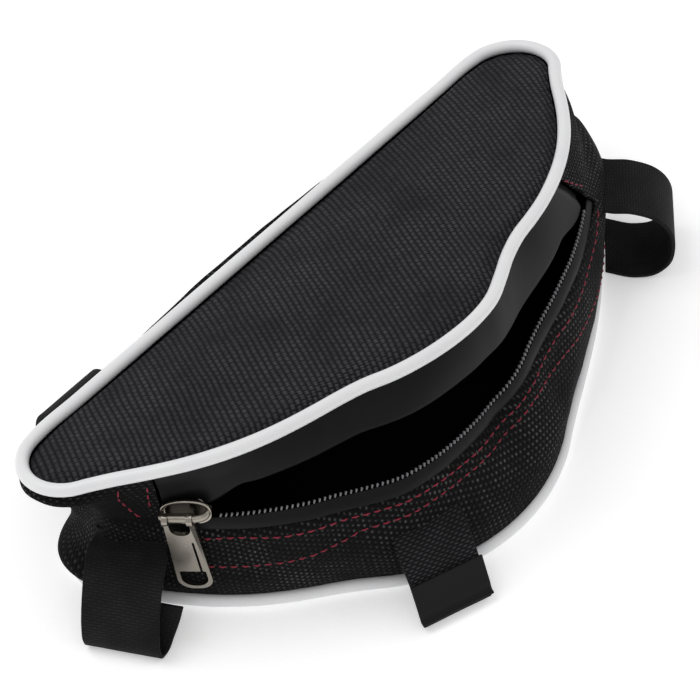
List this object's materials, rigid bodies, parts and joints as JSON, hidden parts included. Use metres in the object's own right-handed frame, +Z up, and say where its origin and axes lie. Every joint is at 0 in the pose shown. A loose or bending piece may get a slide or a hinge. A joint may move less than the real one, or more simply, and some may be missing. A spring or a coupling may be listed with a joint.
{
  "type": "motorcycle crash bar bag",
  "caption": "Half-moon soft bag for a motorcycle crash bar, with a curved zip opening, white piping along both seams and webbing straps that hold it to the bar.",
  "frame": {"origin": "middle of the bounding box from above, on the surface that the bag lies on", "axes": "+X along the straight side towards the right strap loop, +Y out of the straight side, +Z up from the back panel to the front panel"},
  "size_m": [0.271, 0.1474, 0.0731],
  "materials": {
    "woven_black": "coated woven polyester, matt with a faint sheen",
    "webbing_black": "ribbed woven webbing, matt",
    "tape_black": "smooth knitted zip tape, matt",
    "piping_white": "soft vinyl piping, satin",
    "coil_black": "moulded nylon coil, satin",
    "slider_metal": "cast zinc with dark nickel plating, polished"
  },
  "bodies": {
    "bag": {"back_panel": "woven_black", "front_panel": "woven_black", "gusset": "woven_black", "back_piping": "piping_white", "front_piping": "piping_white", "zip_tape_upper": "tape_black", "zip_tape_lower": "tape_black", "zip_coil_upper": "coil_black", "zip_coil_lower": "coil_black", "zip_slider": "slider_metal", "strap_left": "webbing_black", "strap_front": "webbing_black", "strap_front_patch": "webbing_black", "strap_right": "webbing_black", "strap_back": "webbing_black"},
    "pull": {"zip_pull": "slider_metal"}
  },
  "joints": [
    {"name": "pull_hinge", "type": "hinge", "parent": "bag", "child": "pull", "pos_m": [-0.10008, -0.00116, 0.04319], "axis": [-0.5654, 0.8156, -0.1229], "range_deg": [0, 120]}
  ]
}
